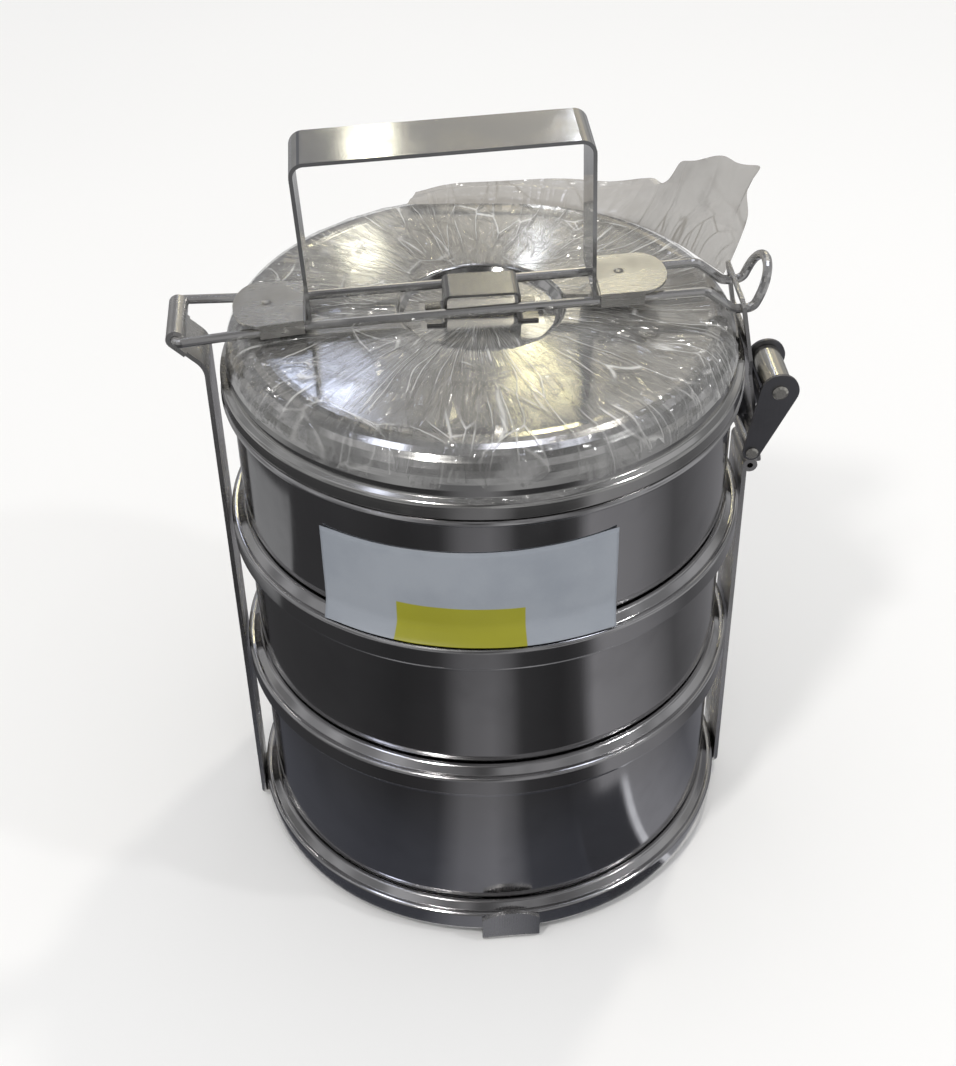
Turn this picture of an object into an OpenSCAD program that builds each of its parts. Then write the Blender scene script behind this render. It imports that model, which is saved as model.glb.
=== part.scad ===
/* [Bowls] */
// Outer radius of the straight bowl wall
wall_r = 80.8; // [60:0.2:110]
// Thickness of the pressed sheet
sheet_t = 0.9; // [0.6:0.1:1.4]
// How far the seat bead stands out from the wall
bead_out = 3.2; // [2.4:0.1:4.5]
// Half of the bead's height
bead_half = 1.1; // [0.8:0.1:1.6]
// Height of the lowest bowl, from its ring's lower edge to its seat bead
lower_h = 66.1; // [45:0.5:110]
// Height of each of the two upper bowls, from ring edge to seat bead
upper_h = 54.5; // [40:0.5:90]
// Neck that stands above the seat bead inside the next ring
neck_h = 6; // [4:0.5:6.5]
// Inside corner radius between a bowl's floor and its wall
floor_corner_r = 7; // [3:0.5:14]
// Height of a bowl's floor above its ring's lower edge
floor_rise = 7; // [6.5:0.5:12]

/* [Label] */
// Length of the price label round the wall
label_length = 94; // [40:1:120]
// Height of the price label
label_h = 31.5; // [15:0.5:36]
// Height of the label's lower edge above the base ring's upright face
label_low = 4; // [3:0.5:8]
// Angle of the label's middle round the bowl, in degrees
label_at = -98.5; // [-150:0.5:-30]

/* [Base rings] */
// How far a base ring flares out beyond the wall
ring_out = 4.8; // [4.4:0.1:6]
// Height of the ring's upright outer face
ring_face_h = 7.3; // [5.5:0.1:7.5]
// Width of the hem turned in at the ring's lower edge
hem_w = 3.2; // [2.6:0.1:4]

/* [Lid] */
// Height of the lid's upright skirt
lid_skirt_h = 5.2; // [4:0.2:9]
// Height from the skirt's lower edge to the crown
lid_h = 21.2; // [18:0.1:23]
// Width of the hem turned in below the skirt
lid_hem_w = 2.2; // [1.6:0.1:2.2]
// Radius of the rounded shoulder
shoulder_r = 10; // [7:0.5:12]
// Radius of the round recess in the crown
dish_r = 24; // [21:0.5:30]
// Depth of the recess
dish_depth = 2.6; // [1:0.1:4]
// Length of the small bridge handle between its legs
bridge_l = 23; // [18:0.5:30]
// Height of the bridge above the recess
bridge_h = 9.6; // [7:0.2:11]
// Width of the bridge's strip
bridge_w = 13.6; // [9:0.2:14]
// Length of each welded foot of the bridge
bridge_foot = 6; // [4:0.5:7]

/* [Cradle] */
// Width of the cradle's flat strap
strap_w = 20; // [14:0.5:24]
// Thickness of the strap
strap_t = 1.5; // [1:0.1:2]
// Height of the two upturned foot tabs
tab_h = 13.5; // [9:0.5:20]
// Radius of the strap's lower bends, along its middle
strap_bend_r = 1.5; // [1.5:0.5:4]
// Height of the hinge barrel's axis above the lid's crown
hinge_rise = 0.5; // [0.3:0.1:3]
// Distance of the hinge barrel's axis beyond the upright
hinge_out = 8; // [6:0.5:12]
// Height of the catch curl below the lid's lower edge
catch_drop = 40.3; // [30:0.5:60]

/* [Bail] */
// Diameter of the bail wire
wire_d = 3; // [2.4:0.1:4]
// Half of the wires' spacing at the hinge
wire_y_hinge = 13.2; // [11:0.2:16]
// Half of the wires' spacing along the handle
wire_y = 9; // [8:0.2:11]
// Angle at which the bail lies above level, in degrees
bail_tilt = 1.83; // [0:0.1:4]
// How far inside the right upright the wires pass the latch link
link_inset = 5.56; // [4:0.01:8]
// Drop of the wires just before the latch link
jog_drop = 7.2; // [4:0.2:9]
// Length of the upturned end of the loop
loop_l = 13; // [11:0.5:20]
// Angle of the upturned end, in degrees
loop_angle = 66; // [40:1:80]

/* [Handle] */
// Width of the grip's strip
grip_w = 22; // [16:0.5:26]
// Thickness of the grip's strip
grip_t = 1.2; // [1:0.1:2]
// Height of the grip above the wires
grip_h = 54; // [40:0.5:75]
// Radius of the grip's two upper bends
grip_bend_r = 4; // [2:0.5:8]
// Distance of the left leg from the hinge
grip_from = 40.5; // [35:0.5:60]
// Distance between the outer faces of the legs
grip_length = 90; // [70:0.5:110]
// How far each leg leans outward towards its foot
leg_lean = -0.6; // [-3:0.1:3]
// Length of a clamp plate along the wires
clamp_l = 22; // [16:0.5:26]
// Thickness of a clamp plate
clamp_t = 0.9; // [0.6:0.1:1.4]

/* [Latch] */
// Thickness of the latch link
link_t = 1.2; // [0.8:0.1:1.6]
// Lean of the link off upright, in degrees
link_lean = 10.5; // [6:0.5:13]
// Width of the link's head
link_head_w = 28; // [25:0.5:32]
// Width of the link between the lever's ears
link_w = 17; // [12:0.5:18]
// Length of the link
link_l = 71; // [60:0.5:80]
// Height of the window in the link's head
window_h = 11.5; // [7:0.5:14]
// Distance of the lever's pivot below the wires, along the link
pivot_down = 54.6; // [48:0.1:58]
// Radius of the roller
roller_r = 4.8; // [3.5:0.1:5.5]
// Distance from the lever's pivot to the roller
lever_l = 24.4; // [20:0.2:32]
// Angle of the lever above level, in degrees
lever_angle = 72.6; // [66:0.2:76]
// Radius of the lever's pivot pin
pivot_r = 1.1; // [0.9:0.1:1.3]
// Radius of the roller's pin
axle_r = 1.6; // [1.2:0.1:2]
// Thickness of the lever's sheet
lever_t = 1.1; // [0.8:0.1:1.5]

/* [Hidden] */
$fn = 96;
seat_gap = 0.3;          // between parts that rest on each other
weld_gap = 0.06;         // between parts that are welded or crimped
run_gap = 0.06;          // radial play of a pin in its bore
side_gap = 0.3;          // sideways play of a part between ears
eps = 0.01;

// Stack
wire_r = wire_d / 2;
bead_r = wall_r + bead_out;
ring_r = wall_r + ring_out;
base_z = [2 * strap_t,
    2 * strap_t + lower_h + bead_half + seat_gap,
    2 * strap_t + lower_h + upper_h + 2 * (bead_half + seat_gap)];
bowl_h = [lower_h, upper_h, upper_h];
lid_z = base_z[2] + upper_h + bead_half + seat_gap;
crown_z = lid_z + lid_h;
lid_r = bead_r - 0.4;
shoulder_x = lid_r - 1.6;                 // widest radius of the rounded shoulder
crown_fall = 1.2;                         // from the middle of the crown to its edge
top_x = shoulder_x - shoulder_r - 3;
shoulder_z = crown_z - crown_fall - shoulder_r;
dish_z = crown_z - dish_depth;

// Cradle
upright_x = ring_r + 0.6 + strap_t / 2;   // centre of an upright's thickness
hinge_x = -(upright_x + hinge_out);
hinge_z = crown_z + hinge_rise;
barrel_half = wire_y_hinge - wire_r - 0.5;
catch_z = lid_z - catch_drop;
curl_r = strap_t / 2 + 1;                 // centre-line radius of the catch curl
outer_x = upright_x + strap_t / 2;

// Bail, in its own frame: x along the wires from the hinge, z up
link_cross = (upright_x - link_inset - hinge_x - jog_drop * sin(bail_tilt)) / cos(bail_tilt);
jog_run = 8.5;                            // length of the slope that the wires drop over
jog_x = link_cross - jog_run - 3;
loop_reach = 3.4;                         // from the link to the upturned end
grip_x0 = grip_from;
grip_x1 = grip_from + grip_length;

// Latch, in the bail's place at rest
cross_x = upright_x - link_inset;
cross_z = hinge_z + link_cross * sin(bail_tilt) - jog_drop * cos(bail_tilt);
bar_gap = 1.1;                            // from the wire to the window's top edge
bar_w = 2.6;
link_top = wire_r + bar_gap + bar_w;      // from the wires' centre to the link's top
knuckle_r = pivot_r + run_gap + 1.1;
ear_in = link_w / 2 + 1.8;                // inner face of an ear
ear_tip_r = roller_r + 1.6;
ear_root_r = 3;

// ---------- helpers ----------

function unit(v) = v / norm(v);
function rot90(v) = [-v[1], v[0]];
function turn(a, b) = a[0] * b[1] - a[1] * b[0];

// Points of a bent line: corner i of pts is rounded to radius r[i]
function bent(pts, r, steps = 8) = [
    for (i = [0 : len(pts) - 1])
        let (first = i == 0, last = i == len(pts) - 1)
        if (first || last || r[i] == 0) pts[i]
        else let (
            a = unit(pts[i] - pts[i - 1]),
            b = unit(pts[i + 1] - pts[i]),
            s = sign(turn(a, b)),
            ang = acos(max(-1, min(1, a * b))),
            c = pts[i] - a * r[i] * tan(ang / 2) + rot90(a) * s * r[i])
            each [for (k = [0 : steps])
                let (t = ang * k / steps)
                c - s * r[i] * (rot90(a) * cos(t) - a * s * sin(t))]
];

// Direction of the line at point i
function dir_at(p, i) =
    i == 0 ? unit(p[1] - p[0]) :
    i == len(p) - 1 ? unit(p[i] - p[i - 1]) :
    unit(unit(p[i] - p[i - 1]) + unit(p[i + 1] - p[i]));

// Outline of a sheet of thickness t that follows the line
function band(p, t) = concat(
    [for (i = [0 : len(p) - 1]) p[i] + rot90(dir_at(p, i)) * t / 2],
    [for (i = [len(p) - 1 : -1 : 0]) p[i] - rot90(dir_at(p, i)) * t / 2]);

// Bent strip: an outline in x and z, w wide in y
module strip(p, t, w) {
    rotate([90, 0, 0])
        linear_extrude(w, center = true)
            polygon(band(p, t));
}

// Points of the closed line pts with corner i rounded to radius bend[i]
function rounded_loop(pts, bend) = let (n = len(pts)) [
    for (i = [0 : n - 1])
        let (
            p = pts[i],
            a = unit(p - pts[(i + n - 1) % n]),
            b = unit(pts[(i + 1) % n] - p),
            ang = acos(a * b),
            x = cross(a, unit(cross(a, b))),
            c = p - a * bend[i] * tan(ang / 2) - x * bend[i],
            steps = max(2, ceil(ang / 11)))
            each [for (k = [0 : steps])
                let (t = ang * k / steps)
                c + bend[i] * (x * cos(t) + a * sin(t))]
];

// Same points without any that lie on the one before
function thinned(p) = [
    for (i = [0 : len(p) - 1])
        if (norm(p[i] - p[(i + len(p) - 1) % len(p)]) > 0.05) p[i]];

function tangent_at(p, i) = let (n = len(p)) unit(p[(i + 1) % n] - p[(i + n - 1) % n]);

// Side directions carried along the line without twist
function sides(p, i, last) =
    i >= len(p) ? [] :
    let (t = tangent_at(p, i), s = unit(last - t * (last * t)))
    concat([s], sides(p, i + 1, s));

// Closed bent wire of radius r
module closed_wire(pts, bend, r, facets = 12) {
    p = thinned(rounded_loop(pts, bend));
    n = len(p);
    side = sides(p, 0, [0.2, 0.1, 1]);
    points = [for (i = [0 : n - 1])
        let (t = tangent_at(p, i), u = side[i], v = cross(t, u))
        each [for (k = [0 : facets - 1])
            p[i] + r * (u * cos(360 * k / facets) + v * sin(360 * k / facets))]];
    faces = [for (i = [0 : n - 1], k = [0 : facets - 1])
        let (j = (i + 1) % n, m = (k + 1) % facets)
        each [
            [i * facets + k, j * facets + k, j * facets + m],
            [i * facets + k, j * facets + m, i * facets + m]]];
    polyhedron(points, faces);
}

// ---------- cradle ----------

module cradle_strap() {
    foot_z = 1.5 * strap_t;
    tangent = (wire_r + run_gap + strap_t / 2) * [-cos(45), -sin(45)];
    barrel = [hinge_x, hinge_z];
    touch = barrel + tangent;
    bend_z = touch[1] - (-upright_x - touch[0]);
    line = bent([
        [upright_x, catch_z],
        [upright_x, foot_z],
        [-upright_x, foot_z],
        [-upright_x, bend_z],
        touch],
        [0, strap_bend_r, strap_bend_r, 8, 0]);
    color("silver")
        difference() {
            union() {
                strip(line, strap_t, strap_w);
                // hinge barrel and the wider strap below it
                translate([hinge_x, 0, hinge_z])
                    rotate([90, 0, 0])
                        cylinder(h = 2 * barrel_half, r = wire_r + run_gap + strap_t, center = true);
                strip([touch + [1, -1] * 4, touch], strap_t, 2 * barrel_half);
                // catch curled outward at the top of the right upright
                translate([upright_x + curl_r, 0, catch_z])
                    rotate([90, 0, 0])
                        difference() {
                            cylinder(h = strap_w, r = curl_r + strap_t / 2, center = true);
                            cylinder(h = strap_w + 1, r = curl_r - strap_t / 2, center = true);
                        }
            }
            translate([hinge_x, 0, hinge_z])
                rotate([90, 0, 0])
                    cylinder(h = 2 * barrel_half + 1, r = wire_r + run_gap, center = true);
        }
}

module cross_strap() {
    reach = upright_x;
    arch_r = strap_w * 0.9;
    line = bent([
        [reach, tab_h], [reach, strap_t / 2], [-reach, strap_t / 2], [-reach, tab_h]],
        [0, strap_bend_r, strap_bend_r, 0]);
    color("silver")
        rotate([0, 0, 90])
            intersection() {
                strip(line, strap_t, strap_w);
                // arched top edge of both tabs
                rotate([90, 0, 90])
                    linear_extrude(3 * reach, center = true)
                        union() {
                            translate([-strap_w / 2, 0]) square([strap_w, tab_h - 3]);
                            translate([0, tab_h - arch_r])
                                intersection() {
                                    circle(arch_r);
                                    translate([-strap_w / 2, 0]) square([strap_w, arch_r + 1]);
                                }
                        }
            }
}

// ---------- bowls ----------

// Points of an arc about c, from angle a to angle b
function arc(c, r, a, b, steps = 8) =
    [for (k = [0 : steps]) let (t = a + (b - a) * k / steps) c + r * [cos(t), sin(t)]];

// One bowl: floor, wall, rolled seat bead, neck and rolled rim
module bowl(z0, h) {
    bead_z = z0 + h;
    floor_z = z0 + floor_rise;
    rim_z = bead_z + neck_h;
    in_r = wall_r - sheet_t;
    corner = floor_corner_r;
    rim_r = sheet_t * 0.75;
    rim_x = wall_r - sheet_t / 2;
    color("gainsboro")
        rotate_extrude()
            polygon(concat(
                [[0, floor_z]],
                arc([wall_r - corner, floor_z + corner], corner, -90, 0),
                [[wall_r, bead_z - bead_half]],
                arc([bead_r - bead_half, bead_z], bead_half, -90, 90),
                [[wall_r, bead_z + bead_half], [wall_r, rim_z - rim_r]],
                arc([rim_x, rim_z], rim_r, -30, 210),
                [[in_r, rim_z - rim_r]],
                arc([wall_r - corner, floor_z + corner], corner - sheet_t, 0, -90),
                [[0, floor_z + sheet_t]]));
}

// Ring welded to a bowl's rounded corner: a small roll, a groove and the upright face
module base_ring(z0) {
    weld_angle = 43;
    corner = [wall_r - floor_corner_r, z0 + floor_rise + floor_corner_r];
    start = corner + (floor_corner_r + weld_gap + sheet_t / 2) * [cos(weld_angle), -sin(weld_angle)];
    face_r = ring_r - sheet_t / 2;
    face_z = z0 + ring_face_h;
    line = bent([
        start,
        start + [1.7, 0.9],
        [face_r - 1.9, face_z - 0.3],
        [face_r, face_z],
        [face_r, z0 + sheet_t / 2],
        [ring_r - hem_w, z0 + sheet_t / 2]],
        [0, 0.9, 0.7, 0.8, 0.5, 0]);
    color("silver")
        rotate_extrude()
            polygon(band(line, sheet_t));
}

module lower_bowl() bowl(base_z[0], bowl_h[0]);
module middle_bowl() bowl(base_z[1], bowl_h[1]);
module upper_bowl() bowl(base_z[2], bowl_h[2]);
module lower_base_ring() base_ring(base_z[0]);
module middle_base_ring() base_ring(base_z[1]);
module upper_base_ring() base_ring(base_z[2]);

// Blank price label stuck on the front of the upper bowl
module price_label() {
    low = base_z[2] + ring_face_h + label_low;
    high = low + label_h;
    half_angle = label_length / wall_r * 90 / PI;
    color("aliceblue")
        translate([0, 0, low])
            rotate([0, 0, label_at - half_angle])
                rotate_extrude(angle = 2 * half_angle, $fn = 192)
                    translate([wall_r + weld_gap, 0])
                        square([0.2, high - low]);
}

// ---------- lid ----------

// Middle of the pressed lid's sheet, from the recess out to the hem of its skirt
function lid_line() = let (h = sheet_t / 2) bent([
    [0, dish_z - h],
    [dish_r, dish_z - h],
    [dish_r + 2.4, crown_z - h],
    [top_x, crown_z - crown_fall - h],
    [shoulder_x - h, crown_z - crown_fall - h],
    [shoulder_x - h - 0.6, lid_z + lid_skirt_h + 1.2],
    [lid_r - h, lid_z + lid_skirt_h - 0.2],
    [lid_r - h, lid_z + h],
    [lid_r - lid_hem_w, lid_z + h]],
    [0, 1.4, 2, 40, shoulder_r, 1.2, 1, 0.5, 0]);

module lid() {
    color("gainsboro")
        rotate_extrude()
            polygon(band(lid_line(), sheet_t));
}

module lid_bridge() {
    half = bridge_l / 2;
    z0 = dish_z + sheet_t / 2 + weld_gap;
    line = bent([
        [-half - bridge_foot, z0], [-half, z0], [-half, z0 + bridge_h],
        [half, z0 + bridge_h], [half, z0], [half + bridge_foot, z0]],
        [0, 1.2, 1.8, 1.8, 1.2, 0]);
    color("silver")
        strip(line, sheet_t, bridge_w);
}

// Thin clear film that lies over the lid's shoulder and crown
module packing_film() {
    film_t = 0.2;
    lift = sheet_t / 2 + weld_gap + film_t / 2;
    whole = lid_line();
    shoulder = [for (i = [0 : len(whole) - 1])
        if (whole[i][0] > top_x - 2 && whole[i][1] > shoulder_z)
            whole[i] + rot90(dir_at(whole, i)) * lift];
    line = concat([[dish_r + 5, crown_z - sheet_t / 2 + lift]], shoulder);
    color("white", 0.4)
        rotate_extrude()
            polygon(band(line, film_t));
}

// ---------- bail and handle ----------

module in_bail() {
    translate([hinge_x, 0, hinge_z])
        rotate([0, -bail_tilt, 0])
            children();
}

module bail_wire() {
    turn_x = link_cross + loop_reach;
    up = [cos(loop_angle), 0, sin(loop_angle)] * loop_l;
    half = [
        [0, -wire_y_hinge, 0],
        [grip_x0, -wire_y, 0],
        [jog_x, -wire_y, 0],
        [jog_x + jog_run, -wire_y, -jog_drop],
        [turn_x, -wire_y, -jog_drop],
        [turn_x, -wire_y, -jog_drop] + up];
    bend = [1.9, 40, 5, 4, 3.2, wire_y];
    n = len(half);
    path = concat(half, [for (i = [n - 1 : -1 : 0]) [half[i][0], -half[i][1], half[i][2]]]);
    bends = concat(bend, [for (i = [n - 1 : -1 : 0]) bend[i]]);
    color("silver")
        in_bail()
            closed_wire(path, bends, wire_r);
}

// The handle's feet lie on the wires, and the clamp plates lie on the feet
foot_mid = wire_r + weld_gap + grip_t / 2;
foot_l = clamp_l * 0.6;
plate_low = foot_mid + grip_t / 2 + weld_gap;

module grip_handle() {
    x0 = grip_x0 + grip_t / 2;
    x1 = grip_x1 - grip_t / 2;
    line = bent([
        [x0 - foot_l, foot_mid],
        [x0 - leg_lean, foot_mid],
        [x0, grip_h],
        [x1, grip_h],
        [x1 + leg_lean, foot_mid],
        [x1 + foot_l, foot_mid]],
        [0, 1.6, grip_bend_r, grip_bend_r, 1.6, 0]);
    color("darkgray")
        in_bail()
            strip(line, grip_t, grip_w);
}

// Half spacing of the wires at x
function wire_half(x) = x >= grip_x0 ? wire_y :
    wire_y_hinge + (wire_y - wire_y_hinge) * x / grip_x0;

// Plate over a foot, round at its far end, with edges folded down beside the wires;
// leg_x is the outside of the handle's leg, s the direction the plate reaches
module clamp_plate(leg_x, s) {
    x0 = leg_x + s * 0.8;
    x1 = x0 + s * clamp_l;
    mid = x0 + s * clamp_l * 0.62;
    side = max(wire_y + wire_r, grip_w / 2) + weld_gap + clamp_t;
    y0 = side + max(0, wire_half(x0) - wire_y);
    y1 = side + max(0, wire_half(mid) - wire_y);
    drop = plate_low + wire_r * 0.7;
    round_end = [for (t = [-90 : 10 : 90]) [mid + (x1 - mid) * cos(t), y1 * sin(t)]];
    color("silver")
        in_bail()
            translate([0, 0, plate_low]) {
                linear_extrude(clamp_t)
                    polygon(concat([[x0, -y0]], round_end, [[x0, y0]]));
                for (m = [-1, 1])
                    translate([0, 0, -drop])
                        linear_extrude(drop + clamp_t)
                            polygon([[x0, m * y0], [mid, m * y1],
                                [mid, m * (y1 - clamp_t)], [x0, m * (y0 - clamp_t)]]);
            }
}

module left_clamp_plate() clamp_plate(grip_x0, -1);
module right_clamp_plate() clamp_plate(grip_x1, 1);

// ---------- latch ----------

// Latch frame: origin where the wires pass the link, -z down along the link
module in_link() {
    translate([cross_x, 0, cross_z])
        rotate([0, -link_lean, 0])
            children();
}

knuckle_x = -(link_t / 2 + weld_gap + knuckle_r);

module latch_link() {
    head = link_head_w / 2;
    w = link_w / 2;
    low = link_top - link_l;
    tip_r = 6;
    color("darkgray")
        in_link()
            rotate([0, 90, 0])
                linear_extrude(link_t, center = true)
                    difference() {
                        union() {
                            polygon([
                                [-link_top, -head + 2], [-link_top + 2, -head],
                                [-link_top + 22, -head], [-link_top + 31, -w],
                                [-low - tip_r - 4, -w], [-low - tip_r, -tip_r],
                                [-low - tip_r, tip_r], [-low - tip_r - 4, w],
                                [-link_top + 31, w], [-link_top + 22, head],
                                [-link_top + 2, head], [-link_top, head - 2]]);
                            translate([-low - tip_r, 0]) circle(tip_r, $fn = 48);
                        }
                        translate([-link_top + bar_w, -wire_y - wire_r - 0.7])
                            square([window_h, 2 * (wire_y + wire_r + 0.7)]);
                    }
    // sleeve on the back of the link that the lever turns on
    color("darkgray")
        in_link()
            translate([knuckle_x, 0, -pivot_down])
                rotate([90, 0, 0])
                    difference() {
                        union() {
                            cylinder(h = link_w, r = knuckle_r, center = true);
                            translate([0, -knuckle_r * 0.8, -link_w / 2])
                                cube([knuckle_r + weld_gap + eps, knuckle_r * 1.6, link_w]);
                        }
                        cylinder(h = link_w + 1, r = pivot_r + run_gap, center = true);
                    }
}

// Lever frame: origin at the lever's pivot, in the part's own directions
module in_lever() {
    in_link()
        translate([knuckle_x, 0, -pivot_down])
            rotate([0, link_lean, 0])
                children();
}

tip = lever_l * [cos(lever_angle), sin(lever_angle)];

module latch_lever() {
    ear_mid = ear_in + lever_t / 2;
    web_top = tip[1] - 4;
    web_low = 12;
    web_x = 3.4;
    web_slope = tan(link_lean);
    color("slategray")
        in_lever()
            difference() {
                union() {
                    for (m = [-1, 1])
                        translate([0, m * ear_mid, 0])
                            rotate([90, 0, 0])
                                linear_extrude(lever_t, center = true)
                                    hull() {
                                        translate(tip) circle(ear_tip_r, $fn = 40);
                                        circle(ear_root_r, $fn = 32);
                                    }
                    rotate([90, 0, 0])
                        linear_extrude(2 * ear_in + lever_t, center = true)
                            polygon([
                                [web_x, web_low],
                                [web_x + lever_t, web_low],
                                [web_x + lever_t - (web_top - web_low) * web_slope, web_top],
                                [web_x - (web_top - web_low) * web_slope, web_top]]);
                }
                rotate([90, 0, 0])
                    cylinder(h = 4 * ear_mid, r = pivot_r + run_gap, center = true);
                translate([tip[0], 0, tip[1]])
                    rotate([90, 0, 0])
                        cylinder(h = 4 * ear_mid, r = axle_r + run_gap, center = true);
            }
}

// Pin with a low round head outside each ear
module headed_pin(r, head_r) {
    out = ear_in + lever_t + weld_gap;
    rotate([90, 0, 0])
        rotate_extrude($fn = 48)
            polygon(concat(
                [[0, -out - 1], [head_r * 0.7, -out - 1], [head_r, -out - 0.5], [head_r, -out], [r, -out]],
                [[r, out], [head_r, out], [head_r, out + 0.5], [head_r * 0.7, out + 1], [0, out + 1]]));
}

module lever_pin() {
    color("dimgray") in_lever() headed_pin(pivot_r, 2.1);
}

module roller_pin() {
    color("dimgray")
        in_lever() translate([tip[0], 0, tip[1]]) headed_pin(axle_r, 2.6);
}

module latch_roller() {
    color("gainsboro")
        in_lever()
            translate([tip[0], 0, tip[1]])
                rotate([90, 0, 0])
                    difference() {
                        cylinder(h = 2 * (ear_in - side_gap), r = roller_r, center = true);
                        cylinder(h = 2 * ear_in + 1, r = axle_r + run_gap, center = true);
                    }
}

cradle_strap();
cross_strap();
lower_bowl();
lower_base_ring();
middle_bowl();
middle_base_ring();
upper_bowl();
upper_base_ring();
price_label();
lid();
lid_bridge();
packing_film();
bail_wire();
grip_handle();
left_clamp_plate();
right_clamp_plate();
latch_link();
latch_lever();
lever_pin();
latch_roller();
roller_pin();
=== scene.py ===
from math import atan2, cos, exp, hypot, pi, radians, sin

import bmesh
import bpy
from mathutils import Matrix, Vector, noise


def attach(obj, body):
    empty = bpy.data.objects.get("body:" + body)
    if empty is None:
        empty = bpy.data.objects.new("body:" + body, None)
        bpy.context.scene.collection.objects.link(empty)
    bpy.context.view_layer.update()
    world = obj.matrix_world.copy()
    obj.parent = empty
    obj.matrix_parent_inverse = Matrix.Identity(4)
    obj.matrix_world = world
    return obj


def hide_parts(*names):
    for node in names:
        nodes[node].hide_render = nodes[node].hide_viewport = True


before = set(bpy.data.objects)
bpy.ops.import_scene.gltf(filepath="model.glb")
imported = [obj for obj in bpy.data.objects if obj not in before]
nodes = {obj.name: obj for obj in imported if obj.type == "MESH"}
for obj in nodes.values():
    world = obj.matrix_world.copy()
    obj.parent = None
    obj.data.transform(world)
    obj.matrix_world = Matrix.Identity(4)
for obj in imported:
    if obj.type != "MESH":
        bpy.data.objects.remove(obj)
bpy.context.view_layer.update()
mm = 0.001


# Shader maths

class Plug:  # one output socket, or its arithmetic
    def __init__(self, finish, socket):
        self.finish, self.socket = finish, socket

    def does(self, operation, *others):
        return self.finish.node("Math", {"operation": operation}, [self, *others])

    def __add__(self, other): return self.does("ADD", other)
    def __radd__(self, other): return self.does("ADD", other)
    def __mul__(self, other): return self.does("MULTIPLY", other)
    def __rmul__(self, other): return self.does("MULTIPLY", other)
    def __sub__(self, other): return self.does("SUBTRACT", other)
    def __rsub__(self, other): return self.finish.node("Math", {"operation": "SUBTRACT"}, [other, self])
    def __truediv__(self, other): return self.does("DIVIDE", other)
    def __rtruediv__(self, other): return self.finish.node("Math", {"operation": "DIVIDE"}, [other, self])
    def __pow__(self, other): return self.does("POWER", other)
    def __abs__(self): return self.does("ABSOLUTE")

    def ramp(self, low, high, toLow=0.0, toHigh=1.0):  # smooth step from low to high
        return self.finish.node("MapRange", {"interpolation_type": "SMOOTHSTEP"},
                                {"Value": self, "From Min": low, "From Max": high,
                                 "To Min": toLow, "To Max": toHigh}, "Result")


class Finish:  # one material, or the sky, and its nodes
    def __init__(self, name, owner=None):
        self.material = owner or bpy.data.materials.new(name)
        self.material.use_nodes = True
        self.tree = self.material.node_tree
        self.tree.nodes.clear()
        self.place = None if owner else self.node("TexCoord", {}, {}, "Object")

    def node(self, kind, settings, values, out=0):
        made = self.tree.nodes.new("ShaderNode" + kind)
        for key, value in settings.items():
            if key == "stops":
                ramp = made.color_ramp
                while len(ramp.elements) < len(value):
                    ramp.elements.new(0.5)
                for element, (at, tone) in zip(ramp.elements, value):
                    element.position, element.color = at, (*tone, 1)
            else:
                setattr(made, key, value)
        pairs = values.items() if isinstance(values, dict) else enumerate(values)
        for key, value in pairs:
            socket = made.inputs[key]
            if isinstance(value, Plug):
                self.tree.links.new(value.socket, socket)
            elif socket.type == "RGBA" and len(value) == 3:
                socket.default_value = (*value, 1)
            else:
                socket.default_value = value
        return Plug(self, made.outputs[out]) if len(made.outputs) else made

    def axes(self):
        split = self.node("SeparateXYZ", {}, [self.place])
        return [Plug(self, s) for s in split.socket.node.outputs]

    def polar(self):  # bearing in radians and distance from the upright axis
        x, y, _ = self.axes()
        return self.node("Math", {"operation": "ARCTAN2"}, [y, x]), (x * x + y * y) ** 0.5

    def stretched(self, sx, sy, sz):  # the place, scaled along each axis
        return self.node("VectorMath", {"operation": "MULTIPLY"}, [self.place, (sx, sy, sz)])

    def distance(self, place, spot):
        return self.node("VectorMath", {"operation": "DISTANCE"}, [place, spot], 1)

    def grain(self, scale, place=None, detail=2.0, rough=0.5):
        return self.node("TexNoise", {}, {"Vector": place or self.place, "Scale": scale,
                                          "Detail": detail, "Roughness": rough}, "Fac")

    def blend(self, factor, one, two):  # between two colours
        return self.node("Mix", {"data_type": "RGBA"}, {0: factor, 6: one, 7: two}, 2)

    def bump(self, height, strength, distance, normal=None):
        values = {"Strength": strength, "Distance": distance, "Height": height}
        if normal:
            values["Normal"] = normal
        return self.node("Bump", {}, values)

    def body(self, values):
        return self.node("BsdfPrincipled", {}, values)

    def done(self, shader):
        self.node("OutputMaterial", {}, {"Surface": shader})
        return self.material


# Steel finishes

polishedSteel = dict(tone=(0.56, 0.555, 0.56), dull=(0.43, 0.425, 0.43), rough=0.10, smudge=0.09,
                     streak=0.035, ripple=0.00022, wallStretch=0.03,
                     lineScale=1500, patchScale=34, fingerScale=95, waveScale=22)


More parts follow.
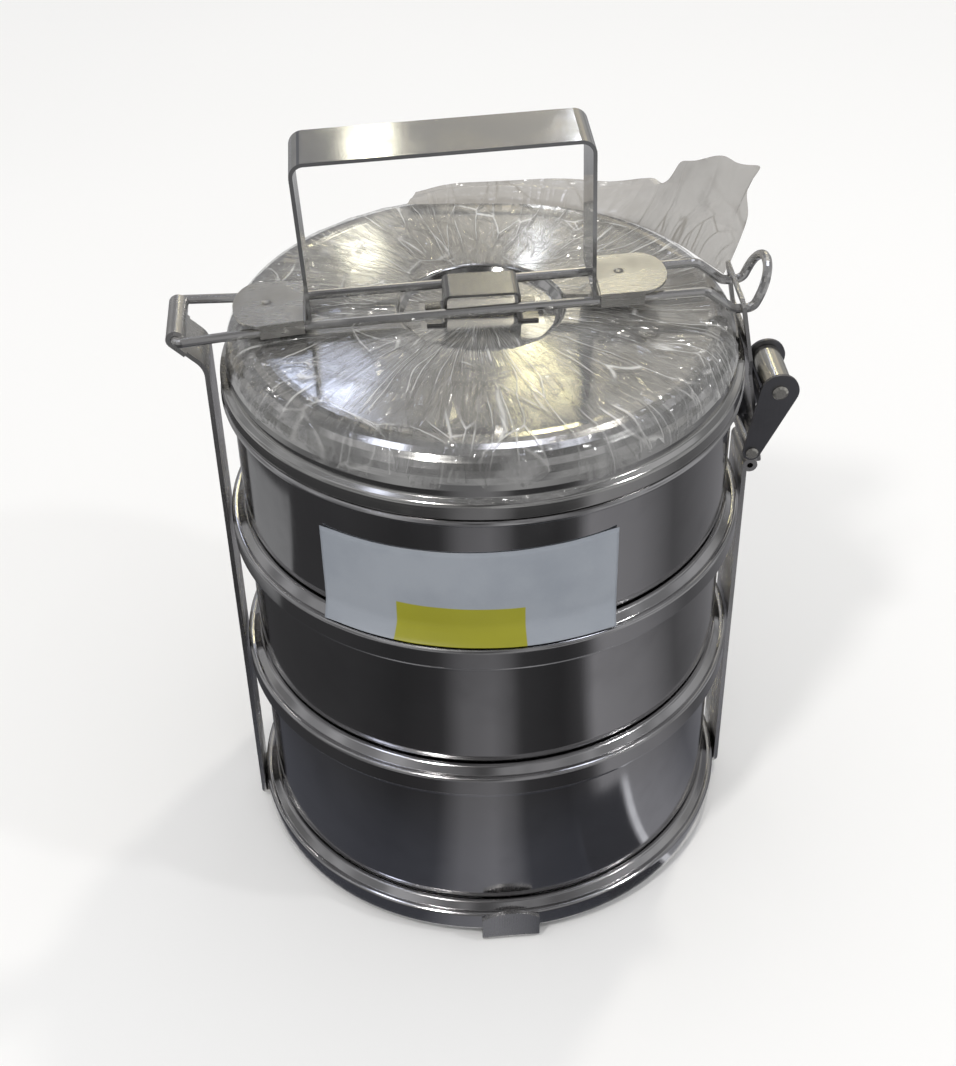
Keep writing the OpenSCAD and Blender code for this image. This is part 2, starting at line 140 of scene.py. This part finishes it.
def polishedFinish(name, grainAlong, **changes):
    s = {**polishedSteel, **changes}
    f = Finish(name)
    if grainAlong == "wall":
        place = f.stretched(1, 1, s["wallStretch"])
    else:  # rings round the upright axis
        place = f.node("CombineXYZ", {}, [f.polar()[1], 0.0, f.axes()[2]])
    lines = f.grain(s["lineScale"], place, 3.0)
    patch = f.grain(s["patchScale"], detail=3.0).ramp(0.42, 0.75)
    finger = f.grain(s["fingerScale"], detail=4.0).ramp(0.5, 0.8)
    rough = s["rough"] + (patch * 0.6 + finger * 0.5) * s["smudge"] + (lines - 0.5) * s["streak"] * 2
    colour = f.blend(patch * 0.5 + finger * 0.25, s["tone"], s["dull"])
    wave = f.bump(f.grain(s["waveScale"], detail=1.0), 0.5, s["ripple"] * 4)
    fine = f.bump(lines, 0.12, s["ripple"] * 0.12, wave)
    return f.done(f.body({"Base Color": colour, "Metallic": 1.0, "Roughness": rough, "Normal": fine}))


satinSteel = dict(tone=(0.60, 0.585, 0.555), dull=(0.44, 0.43, 0.41), rough=0.27, brushed=0.14, bite=0.25,
                  stainScale=60, waveScale=26, waveDepth=0.0004, lineDepth=0.00006)
weld = dict(floorR=0.0007, rimR=0.0017, heatFromR=0.0014, heatToR=0.0030, heat=0.45, depth=0.0007)


def satinFinish(name, stretch, welds=(), **changes):
    s = {**satinSteel, **changes}
    f = Finish(name)
    lines = f.grain(1.0, f.stretched(*stretch), 4.0, 0.6)
    stain = f.grain(s["stainScale"], detail=4.0).ramp(0.45, 0.75)
    rough = s["rough"] + (lines - 0.5) * s["brushed"] + stain * 0.1
    colour = f.blend(stain * 0.55 + (lines - 0.5) * 0.35, s["tone"], s["dull"])
    brushing = f.bump(lines, s["bite"], s["lineDepth"])
    normal = f.bump(f.grain(s["waveScale"], detail=1.0), 0.25, s["waveDepth"], brushing)
    for spot in welds:  # round dent of a spot weld, with its heat mark
        far = f.distance(f.place, tuple(c * mm for c in spot))
        colour = f.blend(far.ramp(weld["heatToR"], weld["heatFromR"]) * weld["heat"], colour, s["dull"])
        normal = f.bump(far.ramp(weld["floorR"], weld["rimR"]), 0.8, weld["depth"], normal)
    return f.done(f.body({"Base Color": colour, "Metallic": 1.0, "Roughness": rough, "Normal": normal}))


def dress(material, *names):
    for name in names:
        slots = nodes[name].data.materials
        slots.clear()
        slots.append(material)


bowlFinish = polishedFinish("bowl steel", "wall")
dress(bowlFinish, "lower_bowl", "middle_bowl", "upper_bowl")
ringFinish = polishedFinish("ring steel", "turned", rough=0.13)
dress(ringFinish, "lower_base_ring", "middle_base_ring", "upper_base_ring")
lidFinish = polishedFinish("lid steel", "turned", tone=(0.64, 0.635, 0.62), dull=(0.50, 0.495, 0.48),
                           smudge=0.12)
dress(lidFinish, "lid")
wireFinish = satinFinish("wire steel", (500, 2500, 2500), tone=(0.78, 0.775, 0.765),
                         dull=(0.62, 0.615, 0.61), rough=0.16, brushed=0.06, bite=0.05)
dress(wireFinish, "bail_wire")
gripFinish = satinFinish("grip steel", (60, 3500, 3500), tone=(0.50, 0.50, 0.50),
                         dull=(0.40, 0.40, 0.40), rough=0.09, brushed=0.06, bite=0.06)
dress(gripFinish, "grip_handle")
plateWelds = [(-66.8, 0.4, 208.6), (43.4, 1.6, 211.9)]
plateFinish = satinFinish("plate steel", (60, 3000, 3000), plateWelds,
                          tone=(0.60, 0.59, 0.565), dull=(0.40, 0.39, 0.37), bite=0.05)
dress(plateFinish, "left_clamp_plate", "right_clamp_plate")
bridgeFinish = satinFinish("bridge steel", (60, 3000, 3000), tone=(0.36, 0.355, 0.345),
                           dull=(0.28, 0.275, 0.27), rough=0.2, bite=0.05)
dress(bridgeFinish, "lid_bridge")
strapFinish = satinFinish("strap steel", (3500, 3500, 60), tone=(0.62, 0.615, 0.61), rough=0.26)
dress(strapFinish, "cradle_strap", "cross_strap", "latch_link")
leverFinish = satinFinish("lever steel", (1500, 1500, 80), tone=(0.22, 0.22, 0.235),
                          dull=(0.15, 0.15, 0.16), rough=0.3)
dress(leverFinish, "latch_lever")
rollerFinish = satinFinish("roller steel", (2500, 60, 2500), tone=(0.74, 0.72, 0.66), rough=0.18)
dress(rollerFinish, "latch_roller", "lever_pin", "roller_pin")
print("steel finishes on", len(nodes), "nodes")


# Lid's outer line, for what lies on it

lidShape = dict(crownZ=203.5, crownFall=1.2, dishZ=200.9, dishR=26.4, flatR=69.0, shoulderR=10.0,
                shoulderX=82.0, wallDraft=0.3, beadRise=1.4, skirtTop=187.3, skirtR=83.6, lowZ=182.3, steps=12)


def lidLine():  # radius and height from the recess's edge out to the skirt's lower edge, in mm
    s = lidShape
    n = s["steps"]
    line = [(s["dishR"] + (s["flatR"] - s["dishR"]) * i / n,
             s["crownZ"] - s["crownFall"] * (i / n) ** 2) for i in range(n + 1)]
    centreX = s["shoulderX"] - s["shoulderR"]
    centreZ = s["crownZ"] - s["crownFall"] - s["shoulderR"]
    for i in range(n + 1):
        a = pi / 2 * (1 - i / n)
        line.append((centreX + s["shoulderR"] * cos(a), centreZ + s["shoulderR"] * sin(a)))
    line += [(s["shoulderX"] - s["wallDraft"], s["skirtTop"] + s["beadRise"]), (s["skirtR"], s["skirtTop"]),
             (s["skirtR"], s["lowZ"])]
    return line


# point at a share of a line's length, and the way the film is moved there: up from the flat of the lid,
# but in towards the axis on its shoulder and wall
def along(line, share):
    steps = [hypot(b[0] - a[0], b[1] - a[1]) for a, b in zip(line, line[1:])]
    left = share * sum(steps)
    for a, b, step in zip(line, line[1:], steps):
        if left <= step or b is line[-1]:
            t = left / step
            across, up = b[0] - a[0], b[1] - a[1]
            return (a[0] + across * t, a[1] + up * t), (up / step, across / step)
        left -= step


def meshPiece(name, points, faces, material, smooth=True):
    data = bpy.data.meshes.new(name)
    data.from_pydata([Vector(p) * mm for p in points], [], faces)
    data.update()
    piece = bpy.data.objects.new(name, data)
    bpy.context.scene.collection.objects.link(piece)
    data.materials.append(material)
    for polygon in data.polygons:
        polygon.use_smooth = smooth
    return piece


def sheetPiece(name, grid, closed, material):
    rows, count = len(grid), len(grid[0])
    faces = []
    for i in range(rows - 1):
        for j in range(count if closed else count - 1):
            k = (j + 1) % count
            faces.append((i * count + j, (i + 1) * count + j, (i + 1) * count + k, i * count + k))
    return meshPiece(name, [p for row in grid for p in row], faces, material)


# Price label

# paper and band are darker than the label's own white and yellow: painted shade, as of a label standing in shade
label = dict(wallR=80.8, at=-98.5, length=94.0, high=168.6, wallLow=140.5, low=134.6, lowR=84.4, tilt=1.2,
             flareR=0.5, flareFall=1.6, lipR=0.9, lipRise=1.0, across=96, up=24,
             gap=0.16, curl=0.5, waver=0.12, thick=0.12,
             paper=(0.29, 0.315, 0.355), shade=(0.235, 0.26, 0.30), band=(0.30, 0.29, 0.006), bandShade=0.85,
             bandFrom=-114.0, bandTo=-86.0, bandHigh=147.0, edge=0.12, edgeHigh=0.15)


def labelFinish():
    s = label
    f = Finish("price label paper")
    angle = f.polar()[0] * (180 / pi)
    z = f.axes()[2]
    fibre = f.grain(900, detail=4.0)
    mottle = f.grain(45, detail=3.0).ramp(0.35, 0.7)
    # paper and band tones carry painted shade on top of the label's own white and yellow
    paper = f.blend(mottle * 0.7 + (fibre - 0.5) * 0.3, s["paper"], s["shade"])
    band = f.blend(mottle * 0.5, s["band"], tuple(c * s["bandShade"] for c in s["band"]))
    inBand = (angle.ramp(s["bandFrom"] - s["edge"], s["bandFrom"] + s["edge"])
              * angle.ramp(s["bandTo"] + s["edge"], s["bandTo"] - s["edge"])
              * z.ramp((s["bandHigh"] + s["edgeHigh"]) * mm, (s["bandHigh"] - s["edgeHigh"]) * mm))
    wrinkle = f.bump(f.grain(150, detail=2.0), 0.3, 0.0002, f.bump(fibre, 0.15, 0.00004))
    return f.done(f.body({"Base Color": f.blend(inBand, paper, band), "Roughness": 0.42, "Coat Weight": 0.25,
                          "Coat Roughness": 0.3, "Normal": wrinkle}))


def makeLabel():
    s = label
    spread = s["lowR"] - s["wallR"]
    profile = [(0, s["high"]), (0, s["wallLow"]), (s["flareR"], s["wallLow"] - s["flareFall"]),
               (spread - s["lipR"], s["low"] + s["lipRise"]), (spread, s["low"])]
    grid = []
    for j in range(s["up"] + 1):
        v = j / s["up"]
        (out, z), _ = along(profile, 1 - v ** 1.5)
        row = []
        for i in range(s["across"] + 1):
            u = i / s["across"] * 2 - 1
            angle = radians(s["at"]) + u * s["length"] / 2 / (s["wallR"] + out)
            lift = s["gap"] + s["curl"] * abs(u) ** 16 + s["waver"] * (noise.noise((u * 5, z * 0.1, 3.1)) + 0.5)
            r = s["wallR"] + lift + out
            row.append((r * cos(angle), r * sin(angle), z + u * s["tilt"] * min(1.0, v * 3)))
        grid.append(row)
    piece = sheetPiece("price_paper", grid, False, labelFinish())
    solid = piece.modifiers.new("thickness", "SOLIDIFY")
    solid.thickness, solid.offset = s["thick"] * mm, 0
    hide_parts("price_label")
    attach(piece, "upper")


makeLabel()
print("label made")


# Packing film

film = dict(flat=(0.170, 0.170), clear=(0.90, 0.90, 0.88), haze=0.035, relief=0.0078, lift=0.38, fold=0.7,
            crinkle=0.35, highest=2.2, seed=4.7, rows=110, around=480, bridgeX=18.8, bridgeY=8.2, bridgeGap=0.6,
            recessR=24.0, wireY=9, wireWide=5.5, linkWide=17, linkR=74)
# the gathered film's grey clear tone and heavy haze are painted shade of the surroundings seen through the
# bunched film
gather = dict(flat=(0.053, 0.053), rows=28, across=120, fold=1.3, clear=(0.37, 0.352, 0.325), haze=0.74,
              relief=0.0012, waves=42, puff=(0.55, 0.6, 0.35), swell=3.0, waver=1.6, leastY=15.8,
              inner=[(-20, 68, 204.3), (2, 66, 204.4), (26, 62, 204.4), (44, 54, 204.4), (56, 45, 204.3),
                     (64, 36, 204.1), (70, 28, 203.6), (75, 22, 202), (79, 19.5, 200), (81, 19, 198.6)],
              outer=[(-16, 78, 203.6), (-1, 75, 208), (26, 73, 208.2), (51, 66, 210.3), (62, 58, 213.7),
                     (67, 51, 217.5), (70, 46, 224.5), (77, 38, 231.3), (84, 32, 232.2), (91.2, 26, 232.8),
                     (88, 24.5, 226), (88, 22.5, 216), (83, 19, 203)])


# streak, cross and thin set how milky the crease lines are: partly the film's whitened creases, partly painted
# crease highlights
creases = dict(width=0.034, core=0.002, fineWidth=0.050, fineCore=0.005, streak=0.50, cross=0.42, thin=0.26,
               cloud=0.18, looseAtWall=0.25, crestHigh=0.16, crestLow=0.12, fineShare=0.4,
               glossMost=0.34, glossGain=1.6)


def filmFinish(name, clear, haze, relief):
    s = creases
    f = Finish(name)
    x, y, z = f.axes()
    angle, radius = f.polar()
    swirl = f.grain(22, detail=1.0) - 0.5

    def facets(across, down, depth):  # distance to the nearest crease, in cells
        spot = f.node("CombineXYZ", {}, [across, down, depth])
        return f.node("TexVoronoi", {"feature": "DISTANCE_TO_EDGE"}, {"Vector": spot, "Scale": 1.0}, "Distance")

    strand = facets(angle * 8 + swirl * 2.6, radius * 17 + swirl * 2.2, z * 16)
    slant = facets(x * 62 + y * 40 + swirl * 2, y * 26 - x * 22, 4.0)
    fine = facets(angle * 17 + swirl * 6, radius * 34 + swirl * 5, z * 30)
    where = f.grain(26, detail=1.0)
    patchy = f.grain(50, detail=2.0).ramp(0.36, 0.52)
    streak = strand.ramp(s["width"], s["core"]) * where.ramp(0.40, 0.52) * patchy
    cross = slant.ramp(s["width"], s["core"]) * where.ramp(0.54, 0.44) * patchy
    thin = fine.ramp(s["fineWidth"], s["fineCore"]) * f.grain(40, detail=1.0).ramp(0.54, 0.66)
    cloud = f.grain(24, detail=3.0).ramp(0.40, 0.70) * radius.ramp(0.080, 0.066)
    loose = radius.ramp(0.082, 0.069, s["looseAtWall"], 1.0)
    # film haze plus milky crease lines, which are partly whitened plastic and partly painted highlights along the
    # creases
    hazeAndCreaseGlint = haze + (streak * s["streak"] + cross * s["cross"]) * loose + thin * s["thin"] + cloud * s["cloud"]
    height = (strand.does("MINIMUM", s["crestHigh"]) + slant.does("MINIMUM", s["crestLow"])
              + fine.does("MINIMUM", s["crestLow"]) * s["fineShare"])
    normal = f.bump(height, 0.9, relief, f.bump(f.grain(45, detail=1.5), 0.3, 0.0006))
    sheen = f.node("BsdfGlossy", {}, {"Color": (1, 1, 1), "Roughness": 0.12, "Normal": normal})
    milk = f.body({"Base Color": clear, "Roughness": 0.16, "Normal": normal})
    through = f.node("BsdfTransparent", {}, {"Color": (0.985, 0.985, 0.985)})
    edgeOn = f.node("Fresnel", {}, {"IOR": 1.45, "Normal": normal})
    gloss = (edgeOn * s["glossGain"]).does("MINIMUM", s["glossMost"])
    return f.done(f.node("MixShader", {}, [hazeAndCreaseGlint, f.node("MixShader", {}, [gloss, through, sheen]), milk]))


def ridge(value, sharp):
    return max(0.0, 1 - abs(value) * sharp) ** 2


def crumple(x, y, z):  # height of the folds at a place on the film
    a, r = atan2(y, x), hypot(x, y)
    warp = noise.noise((x * 0.02, y * 0.02, film["seed"]))
    long = ridge(noise.noise((cos(a) * 4.2 + warp * 1.5, sin(a) * 4.2 + r * 0.012, z * 0.01 + film["seed"])), 3.2)
    short = ridge(noise.noise((x * 0.07 + warp, y * 0.07, z * 0.03)), 3.0)
    where = min(1.0, max(0.0, 0.5 + 1.6 * noise.noise((x * 0.022, y * 0.022, 9.0))))
    return film["fold"] * long * where + film["crinkle"] * short * (1.2 - where)


def filmReach(a):  # how far down the lid the film comes at each side, as a share of the line
    d = (a + 2 * pi) % (2 * pi)
    front = exp(-((d - 1.5 * pi) / 0.9) ** 2)
    link = exp(-(min(d, 2 * pi - d) / 0.27) ** 4)
    rough = (0.035 * noise.noise((cos(a) * 2.6, sin(a) * 2.6, 1.3))
             + 0.02 * noise.noise((cos(a) * 11, sin(a) * 11, 5.0)))
    return 0.80 + 0.14 * front - 0.10 * link + rough


def smoothLine(points, share):  # a point on a smooth line through the given ones
    t = share * (len(points) - 1)
    i = min(int(t), len(points) - 2)
    t -= i
    p = [Vector(points[min(max(i + k, 0), len(points) - 1)]) for k in (-1, 0, 1, 2)]
    return 0.5 * (2 * p[1] + (p[2] - p[0]) * t + (2 * p[0] - 5 * p[1] + 4 * p[2] - p[3]) * t ** 2
                  + (3 * p[1] - p[0] - 3 * p[2] + p[3]) * t ** 3)


def sheetGrid():  # rows from round the bridge out over the lid
    s = film
    line = lidLine()
    grid = []
    for i in range(s["rows"] + 1):
        row = []
        for j in range(s["around"]):
            a = 2 * pi * j / s["around"]
            c, d = cos(a), sin(a)
            hole = min(s["bridgeX"] / max(abs(c), 1e-6), s["bridgeY"] / max(abs(d), 1e-6)) + s["bridgeGap"]
            start = [(hole, lidShape["dishZ"]), (max(hole + 0.3, s["recessR"]), lidShape["dishZ"])]
            (r, z), (moveR, moveZ) = along(start + line, i / s["rows"] * filmReach(a))
            nearWire = exp(-((abs(d * r) - s["wireY"]) / s["wireWide"]) ** 4)
            nearLink = exp(-(abs(d * r) / s["linkWide"]) ** 6) if c > 0 and r > s["linkR"] else 0
            rise = crumple(c * r, d * r, z) * (1 - 0.75 * nearWire) * (1 - nearLink)
            lift = s["lift"] * (1 - 0.3 * nearLink) + min(rise, s["highest"])
            row.append((c * (r + moveR * lift), d * (r + moveR * lift), z + moveZ * lift))
        grid.append(row)
    return grid


def gatherGrid():  # rows from the lid out to the loose edge
    s = gather
    grid = []
    for i in range(s["rows"] + 1):
        t = i / s["rows"]
        row = []
        for j in range(s["across"] + 1):
            u = j / s["across"]
            p = smoothLine(s["inner"], u).lerp(smoothLine(s["outer"], u), t)
            wave = sin(u * s["waves"] + 1.5 * sin(t * 3)) * (0.25 + 0.75 * t) * sin(pi * min(1, u * 1.02))
            puff = Vector(s["puff"]) * (s["fold"] * wave + s["swell"] * sin(pi * t) * sin(pi * u))
            p += puff * min(1.0, t * 3)
            p.z += s["waver"] * noise.noise((u * 9, t * 4, 2.0)) * t
            p.y = max(p.y, s["leastY"])
            row.append(tuple(p))
        grid.append(row)
    return grid


def makeFilm():
    s, g = film, gather
    finish = filmFinish("packing film", s["clear"], s["haze"], s["relief"])
    piece = sheetPiece("film_sheet", sheetGrid(), True, finish)
    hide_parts("packing_film")
    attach(piece, "lid_body")
    # grey, hazy finish of the gathered film: painted shade of its surroundings
    tailFinish = filmFinish("gathered film", g["clear"], g["haze"], g["relief"])
    tail = sheetPiece("film_gather", gatherGrid(), False, tailFinish)
    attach(tail, "lid_body")


makeFilm()
print("film made")


# Floor, cards and light

studio = dict(floor=(0.90, 0.90, 0.90), stain=0.985, backdrop=(0.92, 0.92, 0.92), skyStrength=0.78,
              halfSize=6000, drop=0.0004, fadeFrom=0.55, fadeTo=2.2)


def makeFloor():  # paper floor that fades into the backdrop, as the camera sees it
    s = studio
    f = Finish("studio floor")
    tone = f.blend(f.grain(3.0) * 0.4, s["floor"], tuple(c * s["stain"] for c in s["floor"]))
    paper = f.body({"Base Color": tone, "Roughness": 0.9})
    distant = f.node("Emission", {}, {"Color": s["backdrop"], "Strength": 1.0})
    seen = f.node("LightPath", {}, {}, "Is Camera Ray")
    fade = f.polar()[1].ramp(s["fadeFrom"], s["fadeTo"]) * seen
    material = f.done(f.node("MixShader", {}, [fade, paper, distant]))
    h = s["halfSize"]
    floor = meshPiece("floor", [(-h, -h, 0), (h, -h, 0), (h, h, 0), (-h, h, 0)], [(0, 1, 2, 3)], material, False)
    floor.location.z = -s["drop"]


def unseen(piece):  # a card that shows only as a reflection
    piece.visible_camera = piece.visible_diffuse = piece.visible_shadow = False
    piece.visible_transmission = piece.visible_volume_scatter = False


table = dict(
    inner=88.0, outer=3800.0, z=0.3, sides=96, far=(0.17, 0.17, 0.175), farBright=(0.46, 0.46, 0.465),
    farFrom=0.31, farTo=0.44, near=(0.028, 0.031, 0.042), nearFrom=0.15, nearTo=0.10,
    # each patch: bearings from and to, distances from and to, tone
    patches=[(136, 178, 0.211, 0.288, (0.27, 0.272, 0.276)), (-64, -45, 0.0, 0.133, (0.055, 0.056, 0.064)),
             (-45, -41.5, 0.0, 0.133, (0.75, 0.76, 0.80))],
    # bearing and brightness
    stops=[(-180, 0.05), (-150, 0.05), (-128, 0.035), (-112, 0.045), (-104, 0.16), (-93, 0.20), (-86, 0.13),
           (-82, 0.05), (-66, 0.035), (-58, 0.06), (-52, 0.30), (-30, 0.24), (-10, 0.10), (25, 0.20),
           (60, 0.26), (92, 0.30), (128, 0.26), (136, 0.05), (180, 0.05)])


def makeTable():  # dark table top with paler strips, as the steel sees it
    s = table
    f = Finish("table card")
    bearing, radius = f.polar()
    angle = bearing * (180 / pi)
    stops = [((a + 180) / 360, (v, v * 0.99, v * 1.03)) for a, v in s["stops"]]
    strips = f.node("ValToRGB", {"stops": stops}, [(angle + 180) / 360])
    near = f.node("Mix", {"data_type": "RGBA", "blend_type": "ADD"},
                  {0: radius.ramp(s["nearFrom"], s["nearTo"]), 6: strips, 7: s["near"]}, 2)
    for low, high, inner, outer, shade in s["patches"]:
        inside = angle.ramp(low, low + 1) * angle.ramp(high, high - 1) * radius.ramp(inner - 0.004, inner)
        near = f.blend(inside * radius.ramp(outer, outer - 0.006), near, shade)
    distant = f.blend(f.grain(2.6, detail=1.0).ramp(0.38, 0.60), s["far"], s["farBright"])
    tone = f.blend(radius.ramp(s["farFrom"], s["farTo"]), near, distant)
    material = f.done(f.node("Emission", {}, {"Color": tone, "Strength": 1.0}))
    n = s["sides"]
    points = [(r * cos(2 * pi * i / n), r * sin(2 * pi * i / n), s["z"])
              for r in (s["inner"], s["outer"]) for i in range(n)]
    faces = [(i, (i + 1) % n, n + (i + 1) % n, n + i) for i in range(n)]
    unseen(meshPiece("table card", points, faces, material, False))


room = dict(
    radius=4.0, openBelow=-0.3, patchScale=3.2,
    # tones, and how much brighter their patches are
    cool=(0.185, 0.19, 0.21), warm=(0.48, 0.465, 0.435), low=(0.155, 0.154, 0.152), side=(0.24, 0.24, 0.245),
    front=(0.078, 0.0775, 0.079), glow=(1.0, 0.90, 0.70),
    warmPatch=1.5, warmShare=0.45, frontPatch=4.5, sidePatch=2.2, sideShare=0.85, lowPatch=2.4,
    # where each tone begins and is full, along one part of the direction
    warmX=(-0.11, 0.06), glowX=(-0.15, 0.05), glowY=(0.3, 0.7), glowZ=0.40, glowSharp=13,
    frontY=(0.62, 0.34), sideX=(0.34, 0.62), lowZ=(0.30, 0.05))

# each lamp of the shop: its bearing and height as seen from the carrier, its half width, and its colour;
# angles in degrees
shopLamps = [
    (93.7, 38.5, 1.7, (4.4, 4.8, 6.2)),
    (96.1, 37.4, 1.3, (3.6, 4.0, 5.2)),
    (82.5, 37.7, 1.2, (26.0, 23.5, 13.0)),
    (82.6, 35.0, 1.0, (11.0, 10.4, 8.0)),
    (84.9, 25.0, 2.6, (1.8, 1.6, 1.2)),
    (179.2, 68.4, 5.7, (5.5, 5.8, 7.0)),
    (71.6, 71.6, 5.7, (5.5, 5.6, 6.4)),
    (9.5, 72.2, 5.2, (5.0, 5.2, 6.0)),
    (81.6, 32.9, 3.4, (1.7, 1.6, 1.3)),
    (91.8, 29.0, 1.0, (15.0, 14.4, 11.5)),
    (82.8, 29.1, 0.9, (12.0, 12.4, 13.2)),
]


def makeRoom():  # shop round the table, with its lamps, as the steel and film see it
    s = room
    f = Finish("room card")
    way = f.node("VectorMath", {"operation": "NORMALIZE"}, [f.place])
    x, y, z = (Plug(f, out) for out in f.node("SeparateXYZ", {}, [way]).socket.node.outputs)
    patch = f.grain(s["patchScale"], way, 2.0).ramp(0.40, 0.62)

    def mottled(shade, gain):
        return f.blend(patch, shade, tuple(c * gain for c in shade))

    tone = f.blend(x.ramp(*s["warmX"]), s["cool"], s["warm"])
    tone = f.blend(patch * s["warmShare"], tone, tuple(c * s["warmPatch"] for c in s["warm"]))
    strip = (1 - abs(z - s["glowZ"]) * s["glowSharp"]).ramp(0, 1)
    tone = f.blend(strip * x.ramp(*s["glowX"]) * y.ramp(*s["glowY"]), tone, s["glow"])
    tone = f.blend(y.ramp(*s["frontY"]), tone, mottled(s["front"], s["frontPatch"]))
    tone = f.blend(abs(x).ramp(*s["sideX"]) * s["sideShare"], tone, mottled(s["side"], s["sidePatch"]))
    tone = f.blend(z.ramp(*s["lowZ"]), tone, mottled(s["low"], s["lowPatch"]))
    for bearing, height, halfWidth, glare in shopLamps:
        b, h, size = radians(bearing), radians(height), radians(halfWidth)
        spot = (cos(b) * cos(h), sin(b) * cos(h), sin(h))
        tone = f.blend(f.distance(way, spot).ramp(size, size * 0.25), tone, glare)
    material = f.done(f.node("Emission", {}, {"Color": tone, "Strength": 1.0}))
    ball = bmesh.new()
    bmesh.ops.create_uvsphere(ball, u_segments=48, v_segments=24, radius=s["radius"])
    bmesh.ops.delete(ball, geom=[v for v in ball.verts if v.co.z < s["openBelow"]], context="VERTS")
    data = bpy.data.meshes.new("room card")
    ball.to_mesh(data)
    ball.free()
    data.materials.append(material)
    card = bpy.data.objects.new("room card", data)
    bpy.context.scene.collection.objects.link(card)
    unseen(card)


aim = Vector((0, 0, 0.12))  # middle of the carrier, which the lamps point at


def lamp(name, place, size, watts, tint=(1, 1, 1)):
    data = bpy.data.lights.new(name, "AREA")
    data.shape, data.size, data.energy, data.color = "DISK", size, watts, tint
    made = bpy.data.objects.new(name, data)
    made.location = place
    made.rotation_euler = (aim - Vector(place)).to_track_quat("-Z", "Y").to_euler()
    bpy.context.scene.collection.objects.link(made)


def makeSky():  # even light, seen by the camera and the gloss as a pale backdrop
    s = studio
    world = bpy.data.worlds.new("studio sky")
    bpy.context.scene.world = world
    world.use_nodes = True
    f = Finish("studio sky", world)
    paths = [f.node("LightPath", {}, {}, "Is %s Ray" % kind) for kind in ("Camera", "Glossy", "Transmission")]
    seen = paths[0].does("MAXIMUM", paths[1]).does("MAXIMUM", paths[2])
    light = f.node("Background", {}, {"Color": (1, 1, 1), "Strength": s["skyStrength"]})
    pale = f.node("Background", {}, {"Color": s["backdrop"], "Strength": 1.0})
    f.node("OutputWorld", {}, {"Surface": f.node("MixShader", {}, [seen, light, pale])})


makeFloor()
makeTable()
makeRoom()
makeSky()
lamp("key lamp", (-0.55, -0.75, 1.5), 0.16, 7.0, (1.0, 0.98, 0.95))
lamp("back lamp", (0.5, 0.7, 1.6), 0.12, 4.0, (1.0, 0.96, 0.88))
lamp("side lamp", (1.1, -0.5, 1.3), 0.10, 3.0)
print("studio made")


# Camera

view = dict(place=(-0.03591, -0.47591, 0.48693), turn=0.0690, down=0.7034, roll=-0.0218,
            lens=58.83, sensor=36.0, shiftUp=0.0628, near=0.01, far=50)


def makeCamera():
    data = bpy.data.cameras.new("camera")
    data.sensor_width, data.lens, data.shift_y = view["sensor"], view["lens"], view["shiftUp"]
    data.clip_start, data.clip_end = view["near"], view["far"]
    camera = bpy.data.objects.new("camera", data)
    bpy.context.scene.collection.objects.link(camera)
    camera.matrix_world = (Matrix.Translation(view["place"]) @ Matrix.Rotation(-view["turn"], 4, "Z")
                           @ Matrix.Rotation(pi / 2 - view["down"], 4, "X")
                           @ Matrix.Rotation(view["roll"], 4, "Z"))
    bpy.context.scene.camera = camera


makeCamera()
bpy.context.scene.view_settings.view_transform = "Standard"
print("camera set")
